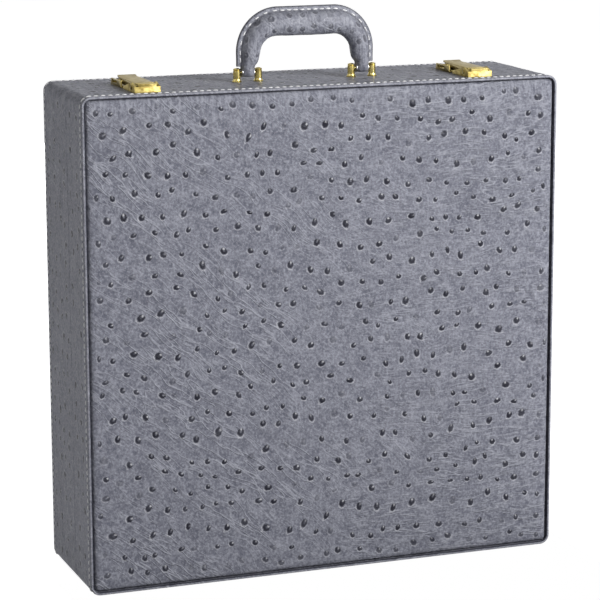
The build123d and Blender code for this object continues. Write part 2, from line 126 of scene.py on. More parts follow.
def ripples(u, v, seed, shortest, longest, count=16):  # gentle waves every way, about -1 to 1
    rng = np.random.default_rng(seed)
    total = np.zeros_like(u)
    for _ in range(count):
        turn, phase = rng.uniform(0, math.tau, 2)
        wave = rng.uniform(shortest, longest)
        total += np.sin((u * math.cos(turn) + v * math.sin(turn)) * math.tau / wave + phase)
    return total / math.sqrt(count)


# Shader nodes. A number or colour is set on its socket, another node's output is linked to it.
def fillIn(tree, node, inputs):
    for key, value in inputs.items():
        if isinstance(value, bpy.types.NodeSocket):
            tree.links.new(value, node.inputs[key])
        else:
            node.inputs[key].default_value = value
    return node


def newNode(tree, kind, inputs=None, **settings):
    node = tree.nodes.new("ShaderNode" + kind)
    for name, value in settings.items():
        setattr(node, name, value)
    return fillIn(tree, node, inputs or {})


def maths(tree, kind, *values):
    return newNode(tree, "Math", dict(enumerate(values)), operation=kind).outputs[0]


def times(tree, a, b):
    return maths(tree, "MULTIPLY", a, b)


def vectors(tree, kind, *values, output=0):
    return newNode(tree, "VectorMath", dict(enumerate(values)), operation=kind).outputs[output]


def scaledBy(tree, vector, amount):
    inputs = {0: vector, "Scale": amount}
    return newNode(tree, "VectorMath", inputs, operation="SCALE").outputs[0]


def ranged(tree, value, fromLow, fromHigh, toLow=0.0, toHigh=1.0):
    inputs = {"Value": value, "From Min": fromLow, "From Max": fromHigh,
              "To Min": toLow, "To Max": toHigh}
    return newNode(tree, "MapRange", inputs).outputs[0]


def mixed(tree, factor, a, b):  # sockets 6 and 7 hold the two colours
    return newNode(tree, "Mix", {0: factor, 6: a, 7: b}, data_type="RGBA").outputs[2]


def noiseOf(tree, space, scale, detail=2.0, rough=0.5, output="Fac"):
    inputs = {"Vector": space, "Scale": scale, "Detail": detail, "Roughness": rough}
    return newNode(tree, "TexNoise", inputs).outputs[output]


def bumped(tree, height, depth, strength=1.0, under=None):
    bump = newNode(tree, "Bump", {"Height": height, "Distance": depth, "Strength": strength})
    if under is not None:
        tree.links.new(under, bump.inputs["Normal"])
    return bump.outputs[0]


def attributeOf(tree, name, output="Fac"):
    return newNode(tree, "Attribute", attribute_name=name).outputs[output]


def turnedSpace(tree, space, turn, scale):  # turned first and then scaled
    rotation = [math.radians(a) for a in turn]
    turned = newNode(tree, "Mapping", {"Vector": space, "Rotation": rotation})
    return newNode(tree, "Mapping", {"Vector": turned.outputs[0], "Scale": scale}).outputs[0]


def spaceFor(tree, turn=(0, 0, 0), scale=(1, 1, 1)):
    return turnedSpace(tree, newNode(tree, "TexCoord").outputs["Object"], turn, scale)


# Camera at the photograph's angle
camera = {
    "lens": 151.202,
    "sensor": 36,
    "azimuth": -20.336,
    "elevation": 11.752,
    "roll": -0.171,
    "distance": 2.384,
    "aside": -2.42 * mm,
    "above": 17.24 * mm,
    "aimHeight": 228 * mm,
    "clipEnd": 50,
}


def addCamera():
    az, el, roll = (math.radians(camera[key]) for key in ("azimuth", "elevation", "roll"))
    back = Vector((math.sin(az) * math.cos(el), -math.cos(az) * math.cos(el), math.sin(el)))
    right = (-back).cross(Vector((0, 0, 1))).normalized()
    up = right.cross(-back)
    right, up = (right * math.cos(roll) + up * math.sin(roll),
                 up * math.cos(roll) - right * math.sin(roll))
    place = Vector((0, 0, camera["aimHeight"])) + back * camera["distance"]
    place += right * camera["aside"] + up * camera["above"]
    bpy.ops.object.camera_add(location=place)
    cam = bpy.context.active_object
    cam.matrix_world = Matrix.Translation(place) @ Matrix((right, up, back)).transposed().to_4x4()
    cam.data.sensor_fit = "HORIZONTAL"
    cam.data.sensor_width = camera["sensor"]
    cam.data.lens = camera["lens"]
    cam.data.clip_end = camera["clipEnd"]
    bpy.context.scene.camera = cam


# Soft studio light: a key from the upper right, weaker lamps from the left and behind,
# white all around, and a floor that is open where the lid swings down
lights = {
    "key": {"place": (1.2, -1.8, 1.15), "size": 1.3, "power": 68},
    "fill": {"place": (-2.4, -0.35, 0.75), "size": 1.6, "power": 8},
    "back": {"place": (0.5, 2.7, 0.55), "size": 1.6, "power": 40},
}
studio = {
    "aim": (0, 0, 0.25),
    "roomLight": 0.12,
    "floorShade": 0.72,
    "floorGlow": 0.92,
    "floorSize": 12.0,
}
lidPath = {"side": 250 * mm, "far": 560 * mm, "near": -14 * mm}


def addLights():
    for name, lamp in lights.items():
        bpy.ops.object.light_add(type="AREA", location=lamp["place"])
        light = bpy.context.active_object
        light.name = name + "Light"
        light.data.shape = "SQUARE"
        light.data.size = lamp["size"]
        light.data.energy = lamp["power"]
        light.visible_glossy = name != "back"  # it would shine on the top, towards the camera
        toward = Vector(studio["aim"]) - Vector(lamp["place"])
        light.rotation_euler = toward.to_track_quat("-Z", "Y").to_euler()


def seenDirectly(tree):  # 1 for camera, mirror and glass rays, else 0
    rays = newNode(tree, "LightPath").outputs
    either = maths(tree, "MAXIMUM", rays["Is Camera Ray"], rays["Is Glossy Ray"])
    return maths(tree, "MAXIMUM", either, rays["Is Transmission Ray"])


def addWorld():
    world = bpy.data.worlds.new("studioWhite")
    bpy.context.scene.world = world
    world.use_nodes = True
    tree = world.node_tree
    strength = ranged(tree, seenDirectly(tree), 0.0, 1.0, studio["roomLight"], 1.0)
    fillIn(tree, tree.nodes["Background"], {"Color": (1, 1, 1, 1), "Strength": strength})


def addFloor():
    bpy.ops.mesh.primitive_plane_add(size=studio["floorSize"])
    floor = named(bpy.context.active_object, "floor")
    side, far, near = lidPath["side"], lidPath["far"], lidPath["near"]
    cuts = [((-side, 0, 0), (1, 0, 0)), ((side, 0, 0), (1, 0, 0)),
            ((0, -far, 0), (0, 1, 0)), ((0, near, 0), (0, 1, 0))]
    switchTo("EDIT")
    for place, normal in cuts:
        bpy.ops.mesh.select_all(action="SELECT")
        bpy.ops.mesh.bisect(plane_co=place, plane_no=normal)
    bpy.ops.mesh.select_all(action="DESELECT")
    switchTo("OBJECT")
    for face in floor.data.polygons:
        face.select = abs(face.center.x) < side and -far < face.center.y < near
    switchTo("EDIT")
    bpy.ops.mesh.delete(type="FACE")
    switchTo("OBJECT")
    mat = bpy.data.materials.new("paleFloor")
    mat.use_nodes = True
    tree = mat.node_tree
    tree.nodes.remove(tree.nodes["Principled BSDF"])
    matt = newNode(tree, "BsdfDiffuse", {"Color": (studio["floorShade"],) * 3 + (1,)})
    strength = times(tree, seenDirectly(tree), studio["floorGlow"])
    glow = newNode(tree, "Emission", {"Strength": strength})
    both = newNode(tree, "AddShader", {0: matt.outputs[0], 1: glow.outputs[0]})
    fillIn(tree, tree.nodes["Material Output"], {"Surface": both.outputs[0]})
    floor.data.materials.append(mat)


bpy.context.scene.view_settings.view_transform = "Standard"
addCamera()
addLights()
addWorld()
addFloor()
print("camera, lights and floor are set")


# Materials. Every pattern reads Object coordinates, in metres, or a painted attribute.
def newMaterial(name):
    mat = bpy.data.materials.new(name)
    mat.use_nodes = True
    return mat, mat.node_tree, mat.node_tree.nodes["Principled BSDF"]


leather = {
    "colour": (0.152, 0.156, 0.192, 1),
    "pale": (0.33, 0.338, 0.385, 1),
    "deep": (0.086, 0.089, 0.116, 1),
    # quill: the dark of the quills, their dye with painted shade, and of the seamShade marks; tip:
    # the pale of the painted highlights and painted lit rims
    "quill": (0.014, 0.014, 0.022, 1),
    "tip": (0.62, 0.62, 0.66, 1),
    "specular": 0.07,
    "roughness": 0.46,
    "creaseTurn": (0, -38, 0),  # the creases slant on the left and run level on the right
    "levelTurn": (0, 3, 0),
    "creaseScale": (22, 90, 130),
    "levelScale": (20, 90, 190),
    "bundleScale": (7, 20, 24),
    "bendScale": 14,
    "bendBy": 26 * mm,
    "creases": 0.62,
    "topGlintScale": (360, 60, 75),  # pale vertical wrinkles near the top edge, a painted highlight where the panel rolls up towards the light
    "topGlintsFrom": 425 * mm,
    "topGlintsTo": 449 * mm,
    "topWrinkleGlints": 0.60,
    "grainScale": 900,
    "fineScale": 1500,
    "noises": {  # scale, detail and roughness of each pattern
        "clouds": (13, 3),
        "mottle": (75, 4, 0.62),
        "blotches": (170, 3, 0.6),
        "speckle": (430, 2, 0.6),
    },
    "layers": (  # pattern, where it starts and is full, how much, of which colour
        ("clouds", 0.35, 0.65, 0.22, "deep"),
        ("mottle", 0.46, 0.74, 0.42, "pale"),
        ("mottle", 0.44, 0.26, 0.38, "deep"),
        ("blotches", 0.42, 0.70, 0.36, "pale"),
        ("blotches", 0.46, 0.30, 0.30, "deep"),
        ("speckle", 0.50, 0.70, 0.60, "pale"),
        ("speckle", 0.50, 0.30, 0.60, "deep"),
    ),
}
mark = {  # one quill on the hide, in millimetres from its middle: a dark dome of dye with painted shade, open as a C towards the light, a painted highlight at the tip, a painted lit middle and a painted lit rim
    "darkTo": (2.3, 3.15),
    "wobble": 1.3,
    "wobbleScale": 640,
    "tipAt": 1.75,
    "tipReach": (0.35, 1.2),
    "litCentreAt": 0.45,
    "litCentreReach": (0.3, 1.3),
    "litCentrePale": 0.75,
    "rim": (2.9, 3.5, 4.3),
    "litRimLean": (0.1, -0.8),  # the painted lit rim shows on the side away from the painted highlight
    "edgeStep": 14.0,
    "shares": {"rim": 0.5, "dark": 0.97, "tip": 0.80},
}


def curvedSpace(tree, space):  # bends straight patterns by a few millimetres
    noise = noiseOf(tree, space, leather["bendScale"], 1, output="Color")
    return vectors(tree, "MULTIPLY_ADD", noise, (leather["bendBy"],) * 3, space)


def ridges(tree, space, rough):  # thin lines where the noise crosses its middle value
    noise = noiseOf(tree, space, 1.0, 2, rough)
    off = maths(tree, "ABSOLUTE", maths(tree, "SUBTRACT", noise, 0.5))
    return ranged(tree, off, 0.004, 0.040, 1.0, 0.0)


def quillMarks(tree, plain):  # the dark of the quills, dye with painted shade, their painted highlight at the tip, and a painted lit rim on the lower side
    place = attributeOf(tree, "quillPlace", "Vector")
    kinds = newNode(tree, "SeparateXYZ", {0: attributeOf(tree, "quillKind", "Vector")}).outputs
    strength = kinds["X"]
    toward = newNode(tree, "CombineXYZ", {"X": kinds["Y"], "Y": kinds["Z"]}).outputs[0]
    atEdge = newNode(tree, "SeparateXYZ", {0: place}).outputs["Z"]
    beyond = times(tree, atEdge, mark["edgeStep"])
    uneven = noiseOf(tree, plain, mark["wobbleScale"], 1, output="Color")
    shake = vectors(tree, "SUBTRACT", uneven, (0.5, 0.5, 0.5))
    shaken = vectors(tree, "ADD", place, scaledBy(tree, shake, mark["wobble"]))
    flat = vectors(tree, "MULTIPLY", shaken, (1.0, 1.0, 0.0))
    fromTip = vectors(tree, "SUBTRACT", flat, scaledBy(tree, toward, mark["tipAt"]))
    fromLitCentre = vectors(tree, "SUBTRACT", flat, scaledBy(tree, toward, mark["litCentreAt"]))
    away, tipAway, litCentreAway = (
        maths(tree, "ADD", vectors(tree, "LENGTH", way, output="Value"), beyond)
        for way in (flat, fromTip, fromLitCentre))
    tip = ranged(tree, tipAway, *mark["tipReach"], 1.0, 0.0)
    tip = times(tree, tip, times(tree, strength, attributeOf(tree, "quillHighlight")))
    litCentre = ranged(tree, litCentreAway, *mark["litCentreReach"], mark["litCentrePale"], 0.0)
    litCentre = times(tree, litCentre, maths(tree, "SUBTRACT", 1.0, attributeOf(tree, "quillFill")))
    dark = ranged(tree, away, *mark["darkTo"], 1.0, 0.0)
    dark = times(tree, dark, maths(tree, "SUBTRACT", 1.0, litCentre))
    dark = times(tree, dark, strength)
    low, top, high = mark["rim"]
    rim = times(tree, ranged(tree, away, low, top),
                ranged(tree, away, top, high, 1.0, 0.0))
    lean = vectors(tree, "DOT_PRODUCT", vectors(tree, "NORMALIZE", flat), toward, output="Value")
    rim = times(tree, rim, ranged(tree, lean, *mark["litRimLean"]))
    return {"rim": times(tree, rim, strength), "dark": dark, "tip": tip}


def ostrichLeather(name, shine=1.0):
    mat, tree, shader = newMaterial(name)
    plain = spaceFor(tree)
    noises = {key: noiseOf(tree, plain, *values) for key, values in leather["noises"].items()}
    bent = curvedSpace(tree, plain)
    slantSpace = turnedSpace(tree, bent, leather["creaseTurn"], leather["creaseScale"])
    levelSpace = turnedSpace(tree, bent, leather["levelTurn"], leather["levelScale"])
    wander = maths(tree, "MULTIPLY_ADD", noises["clouds"], 0.35, -0.175)
    axes = newNode(tree, "SeparateXYZ", {0: plain}).outputs
    toLevel = ranged(tree, maths(tree, "ADD", axes["X"], wander), -0.08, 0.12)
    lines = newNode(tree, "Mix", {0: toLevel, 2: ridges(tree, slantSpace, 0.55),
                                  3: ridges(tree, levelSpace, 0.6)}).outputs[0]
    bundleSpace = turnedSpace(tree, plain, leather["creaseTurn"], leather["bundleScale"])
    bundles = ranged(tree, noiseOf(tree, bundleSpace, 1.0, 2), 0.36, 0.58, 0.22, 1.0)
    creases = times(tree, lines, bundles)
    # Painted highlight: pale vertical wrinkles just under the top edge, where the panel rolls
    # towards the light
    topGlintSpace = turnedSpace(tree, plain, (0, 0, 0), leather["topGlintScale"])
    topWrinkleGlints = ranged(tree, noiseOf(tree, topGlintSpace, 1.0, 3, 0.6), 0.48, 0.62)
    nearTop = ranged(tree, axes["Z"], leather["topGlintsFrom"], leather["topGlintsTo"])
    topWrinkleGlints = times(tree, topWrinkleGlints, nearTop)
    base = leather["colour"]
    for pattern, start, full, most, tone in leather["layers"]:
        share = ranged(tree, noises[pattern], start, full, 0.0, most)
        base = mixed(tree, share, base, leather[tone])
    base = mixed(tree, times(tree, creases, leather["creases"]), base, leather["pale"])
    base = mixed(tree, times(tree, topWrinkleGlints, leather["topWrinkleGlints"]), base, leather["pale"])
    marks = quillMarks(tree, plain)
    # Each quill: a painted lit rim, its dark of dye and painted shade, and a painted highlight at
    # the tip
    for key, tone in (("rim", "tip"), ("dark", "quill"), ("tip", "tip")):
        base = mixed(tree, times(tree, marks[key], mark["shares"][key]), base, leather[tone])
    # seamShade: painted shade in the rim groove, needle holes and the handle's seam valleys, and
    # the dark raw edge of the handle seam
    base = mixed(tree, attributeOf(tree, "seamShade"), base, leather["quill"])
    # Painted highlight along the rim's rounded edge
    base = mixed(tree, attributeOf(tree, "paintedRimHighlight"), base, leather["tip"])
    grain = newNode(tree, "TexVoronoi", {"Vector": plain, "Scale": leather["grainScale"]})
    fine = noiseOf(tree, plain, leather["fineScale"], 2)
    bumps = ((grain.outputs["Distance"], 0.12, 0.6), (fine, 0.10, 0.7), (creases, 0.45, 0.9),
             (noises["mottle"], 2.4, 0.5), (noises["blotches"], 1.2, 0.6))
    normal = None
    for pattern, depth, strength in bumps:
        normal = bumped(tree, pattern, depth * mm, strength, normal)
    rough = leather["roughness"] / math.sqrt(shine)
    dull = ranged(tree, noises["blotches"], 0.3, 0.7, rough - 0.06, rough + 0.08)
    fillIn(tree, shader, {
        "Base Color": base,
        "Normal": normal,
        "Roughness": maths(tree, "ADD", dull, times(tree, marks["dark"], -0.05)),
        "Specular IOR Level": leather["specular"] * shine ** 3,
    })
    return mat


metals = {  # light and dark colour, roughness where it is smooth and where it is rough. The satin and dull brasses are rougher, darker copies of the same polished brass, painted shade on the brackets and on the hasps and catches
    "polishedBrass": ((0.62, 0.52, 0.20, 1), (0.22, 0.165, 0.045, 1), 0.20, 0.32),
    "satinShadedBrass": ((0.50, 0.41, 0.15, 1), (0.20, 0.145, 0.04, 1), 0.46, 0.58),
    "dullShadedBrass": ((0.33, 0.27, 0.105, 1), (0.24, 0.18, 0.06, 1), 0.30, 0.42),
    "brushedSteel": ((0.50, 0.50, 0.51, 1), (0.66, 0.66, 0.67, 1), 0.24, 0.38),
}
scratchDepth = 0.03 * mm


def brassMaterial(name):
    mat, tree, shader = newMaterial(name)
    light, dark, smooth, rough = metals[name]
    tone = noiseOf(tree, spaceFor(tree), 190, 3)
    scratches = noiseOf(tree, spaceFor(tree, (0, 0, 8), (40, 900, 900)), 1.0, 2)
    fillIn(tree, shader, {
        "Base Color": mixed(tree, ranged(tree, tone, 0.35, 0.7), light, dark),
        "Metallic": 1.0,
        "Roughness": ranged(tree, tone, 0.3, 0.7, smooth, rough),
        "Normal": bumped(tree, scratches, scratchDepth, 0.5),
    })
    return mat


def steelMaterial():
    mat, tree, shader = newMaterial("brushedSteel")
    dark, light, smooth, rough = metals["brushedSteel"]
    lines = noiseOf(tree, spaceFor(tree, (0, 0, 0), (30, 700, 700)), 1.0, 2)
    fillIn(tree, shader, {
        "Base Color": mixed(tree, lines, dark, light),
        "Metallic": 1.0,
        "Roughness": ranged(tree, lines, 0.3, 0.7, smooth, rough),
        "Normal": bumped(tree, lines, scratchDepth, 0.5),
    })
    return mat


plywood = {
    "light": (0.56, 0.38, 0.21, 1),
    "dark": (0.36, 0.22, 0.11, 1),
    "glueLine": (0.25, 0.15, 0.08, 1),
    "grainScale": (9, 160, 70),
    "plyScale": 190,
    "roughness": 0.6,
}


def woodMaterial():
    mat, tree, shader = newMaterial("sandedPlywood")
    grain = noiseOf(tree, spaceFor(tree, (3, 2, 5), plywood["grainScale"]), 1.0, 4, 0.6)
    plies = newNode(tree, "TexWave", {"Scale": plywood["plyScale"], "Distortion": 1.2,
                                      "Vector": spaceFor(tree, (0, 45, 0))})
    grainTone = ranged(tree, grain, 0.3, 0.7)
    base = mixed(tree, grainTone, plywood["light"], plywood["dark"])
    base = mixed(tree, times(tree, plies.outputs["Fac"], 0.25), base, plywood["glueLine"])
    fillIn(tree, shader, {
        "Base Color": base,
        "Roughness": plywood["roughness"],
        "Normal": bumped(tree, grain, 0.15 * mm, 0.5),
    })
    return mat


lining = {
    "dark": (0.045, 0.046, 0.07, 1),
    "light": (0.095, 0.097, 0.135, 1),
    "pile": (0.16, 0.16, 0.21, 1),
    "napScale": 35,
    "pileScale": 2200,
    "roughness": 0.95,
    "sheen": 0.6,
    "sheenRoughness": 0.4,
    "specular": 0.15,
}


def velvetMaterial():
    mat, tree, shader = newMaterial("shortVelvet")
    plain = spaceFor(tree)
    nap = ranged(tree, noiseOf(tree, plain, lining["napScale"], 3), 0.3, 0.7)
    pile = noiseOf(tree, plain, lining["pileScale"], 2)
    base = mixed(tree, nap, lining["dark"], lining["light"])
    fillIn(tree, shader, {
        "Base Color": mixed(tree, ranged(tree, pile, 0.3, 0.7, 0.0, 0.5), base, lining["pile"]),
        "Roughness": lining["roughness"],
        "Sheen Weight": lining["sheen"],
        "Sheen Roughness": lining["sheenRoughness"],
        "Specular IOR Level": lining["specular"],
        "Normal": bumped(tree, pile, 0.5 * mm, 0.7),
    })
    return mat


sewingThread = {
    "dark": (0.66, 0.66, 0.68, 1),
    "light": (0.90, 0.90, 0.90, 1),
    "soiled": (0.45, 0.45, 0.48, 1),
    "twistScale": (700, 700, 2600),
    "roughness": 0.7,
}


def threadMaterial():
    mat, tree, shader = newMaterial("paleThread")
    twist = noiseOf(tree, spaceFor(tree, (35, 35, 35), sewingThread["twistScale"]), 1.0, 1)
    soiled = ranged(tree, noiseOf(tree, spaceFor(tree), 60, 2), 0.4, 0.7, 0.0, 0.4)
    strands = ranged(tree, twist, 0.35, 0.65)
    base = mixed(tree, strands, sewingThread["dark"], sewingThread["light"])
    fillIn(tree, shader, {
        "Base Color": mixed(tree, soiled, base, sewingThread["soiled"]),
        "Roughness": sewingThread["roughness"],
        "Normal": bumped(tree, twist, 0.12 * mm, 0.8),
    })
    return mat


caseLeather = ostrichLeather("ostrichLeather")
gripLeather = ostrichLeather("handleLeather", shine=1.5)
brass = brassMaterial("polishedBrass")
satinShadedBrass = brassMaterial("satinShadedBrass")
dullShadedBrass = brassMaterial("dullShadedBrass")
steel = steelMaterial()
wood = woodMaterial()
velvet = velvetMaterial()
thread = threadMaterial()
slotMaterial = {
    "ostrich_leather": caseLeather,
    "handle_leather": gripLeather,
    "polished_brass": brass,
    "steel": steel,
    "wood_board": wood,
    "velvet_lining": velvet,
}
for part in frame["record"]["subparts"]:
    node = frame["nodes"][part["node"]]
    node.data.materials.clear()
    node.data.materials.append(slotMaterial[part["material_slot"]])
print("materials are made")


# Quills: the raised follicles of the hide. Each sits in its own square of the grid, whose
# inner rows of points are drawn into rings round it and the rest run smoothly to the square's edge.
quill = {
    "steps": 10,
    "rings": (0.0, 1.1 * mm, 2.1 * mm, 3.1 * mm, 4.6 * mm),
    "height": 0.48 * mm,
    "width": 2.1 * mm,
    "moat": 0.16 * mm,
    "moatAt": 3.2 * mm,
    "moatWidth": 0.8 * mm,
    "stray": 0.22,
    "strength": (0.86, 1.0),
    "faint": 0.16,  # the share of quills that hardly show, and how strong they are
    "faintStrength": 0.42,
    "size": (0.84, 1.14),
    # how strong the painted highlight of each quill is
    "glintStrength": (0.2, 1.0),
    "toward": (46, 88),  # the side the light comes from, where the painted highlight sits: degrees from x at the left and the right
    "towardScatter": 20,
    "fill": (0.25, 0.95),  # how dark the middle is, dye with painted shade, so how little of the painted lit middle shows, at the left and the right
    "fillScatter": 0.25,
}


# gx and gy count cells. It gives the place along x and y in metres, the bump, and what the
# material reads.
def quillField(gx, gy, cellX, cellY, seed, faint=quill["faint"]):
    rng = np.random.default_rng(seed)
    countX, countY = int(round(gx.max())), int(round(gy.max()))
    shape = (countX, countY)
    strayX, strayY = rng.uniform(-quill["stray"], quill["stray"], (2,) + shape)
    strength = rng.uniform(*quill["strength"], shape)
    strength = strength * np.where(rng.random(shape) < faint, quill["faintStrength"], 1.0)
    across = np.linspace(0, 1, countX)[:, None] + np.zeros(shape)
    toward = np.interp(across, [0, 1], quill["toward"])
    toward = np.radians(toward + rng.normal(0, quill["towardScatter"], shape))
    filled = np.interp(across, [0, 1], quill["fill"])
    filled = np.clip(filled + rng.normal(0, quill["fillScatter"], shape), 0.0, 1.0)
    size = rng.uniform(*quill["size"], shape)
    glintStrength = rng.uniform(*quill["glintStrength"], shape)
    ix = np.clip(np.floor(gx + 1e-6).astype(int), 0, countX - 1)
    iy = np.clip(np.floor(gy + 1e-6).astype(int), 0, countY - 1)
    u = 2 * (gx - ix) - 1
    v = 2 * (gy - iy) - 1
    s = np.maximum(np.abs(u), np.abs(v))
    safeU = np.where(np.abs(u) < 1e-9, 1e-9, u)
    safeV = np.where(np.abs(v) < 1e-9, 1e-9, v)
    sideways = v / safeU * math.pi / 4 + np.where(u < 0, math.pi, 0.0)
    upward = np.sign(v) * math.pi / 2 - u / safeV * math.pi / 4
    angle = np.where(np.abs(u) >= np.abs(v), sideways, upward)
    ringAt = np.arange(len(quill["rings"])) * 2 / quill["steps"]
    rho = np.interp(s, ringAt, quill["rings"])
    keep = smoothStep((s - ringAt[-2]) / (1 - ringAt[-2]))
    midX, midY = strayX[ix, iy] * cellX, strayY[ix, iy] * cellY
    x = (1 - keep) * (midX + rho * np.cos(angle)) + keep * u * cellX / 2
    y = (1 - keep) * (midY + rho * np.sin(angle)) + keep * v * cellY / 2
    wide = size[ix, iy]
    lit = 0.5 + 0.5 * np.cos(angle - toward[ix, iy])
    bump = quill["height"] * np.exp(-(rho / (quill["width"] * wide)) ** 2)
    moat = np.exp(-((rho - quill["moatAt"]) / quill["moatWidth"]) ** 2)
    bump -= quill["moat"] * (1.0 - 0.6 * lit) * moat
    bump = np.where(s < ringAt[-2] + 1e-6, bump, bump * 0.3) * strength[ix, iy]
    atEdge = (s > 1 - 1e-6).astype(float)
    own = toward[ix, iy]
    # What the material reads: the place in the quill, its strength and the side the light comes
    # from, how dark its middle is, and the strength of its painted highlight
    hide = {
        "place": np.stack([(x - midX) / wide / mm, (y - midY) / wide / mm, atEdge], axis=1),
        "kind": np.stack([strength[ix, iy], np.cos(own), np.sin(own)], axis=1),
        "fill": filled[ix, iy],
        "tip": glintStrength[ix, iy],
    }
    return (ix + 0.5) * cellX + x, (iy + 0.5) * cellY + y, bump, hide


def bareHide(count):  # hide without quills
    return {
        "place": np.tile([0.0, 0.0, 1.0], (count, 1)),
        "kind": np.tile([0.0, 1.0, 0.0], (count, 1)),
        "fill": np.zeros(count),
        "tip": np.zeros(count),
    }


def paintHide(mesh, hide, bare, strength=1.0):  # bare: where there is no quill
    place = hide["place"].copy()
    place[bare] = (0.0, 0.0, 1.0)
    kind = hide["kind"].copy()
    kind[:, 0] *= strength
    paint(mesh, "quillPlace", place, "FLOAT_VECTOR", "vector")
    paint(mesh, "quillKind", kind, "FLOAT_VECTOR", "vector")
    paint(mesh, "quillFill", hide["fill"])
    paint(mesh, "quillHighlight", hide["tip"])


# A padded sheet over a board with rounded edges: place, outward direction, lean and drop
def rolledOver(u, v, coreX, coreZ, roll):
    pastX = np.maximum(np.abs(u) - coreX, 0)
    pastZ = np.maximum(np.abs(v) - coreZ, 0)
    rho = np.maximum(pastX, pastZ)
    ratio = np.where(rho > 0, np.minimum(pastX, pastZ) / np.maximum(rho, 1e-9), 0)
    small = ratio * math.pi / 4
    turn = np.where(pastX >= pastZ, small, math.pi / 2 - small)
    lean = np.minimum(rho / roll, math.pi / 2)
    reach = roll * np.sin(lean)
    drop = roll * (1 - np.cos(lean)) + np.maximum(rho - roll * math.pi / 2, 0)
    outX, outZ = np.cos(turn) * np.sign(u), np.sin(turn) * np.sign(v)
    x = np.clip(u, -coreX, coreX) + outX * reach
    z = np.clip(v, -coreZ, coreZ) + outZ * reach
    return x, z, outX, outZ, lean, drop


def crowned(u, v, coreX, coreZ, reach):  # 0 at the edges, near 1 in the middle
    rise = 1 - np.exp(-np.maximum(coreX - np.abs(u), 0) / reach)
    return rise * (1 - np.exp(-np.maximum(coreZ - np.abs(v), 0) / reach))


def closeBack(sheet, y):  # the flat back against the board, sharp at its edge
    takeUp(sheet)
    switchTo("EDIT")
    bpy.ops.mesh.select_all(action="DESELECT")
    bpy.ops.mesh.select_non_manifold()
    bpy.ops.mesh.edge_face_add()
    switchTo("OBJECT")
    tidyFaces(sheet)
    for face in sheet.data.polygons:
        if abs(face.center.y - y) < 0.01 * mm and len(face.vertices) > 4:
            face.use_smooth = False


# Padded panels on the front and the back
panel = {
    "roll": 4.8 * mm,
    "skirt": 2.8 * mm,
    "cellsFrom": 8.4 * mm,  # from the outer edge, along the leather
    "spread": 0.7 * mm,  # the padding swells into the gap to the rim
    "cells": 24,
    "edgeSteps": 6,
    "crown": 2.0 * mm,
    "crownReach": 26 * mm,
    "drift": 4.0 * mm,
    "driftWaves": (70 * mm, 190 * mm),
    "calmWithin": 40 * mm,  # of the edge, where the quills drift less
    "stagger": 0.25,
    "staggerSharp": 1.8,
    "staggerFrom": 30 * mm,
    "sway": 1.7 * mm,
    "swayWaves": (36 * mm, 62 * mm),
    "waves": 0.32 * mm,
    "waveLengths": (22 * mm, 70 * mm),
    "fadeFrom": 8 * mm,  # the quills and waves are weaker near the edge
    "fadeOver": 16 * mm,
    "edgeLift": 0.35,
    "edgeStrength": 0.55,
}


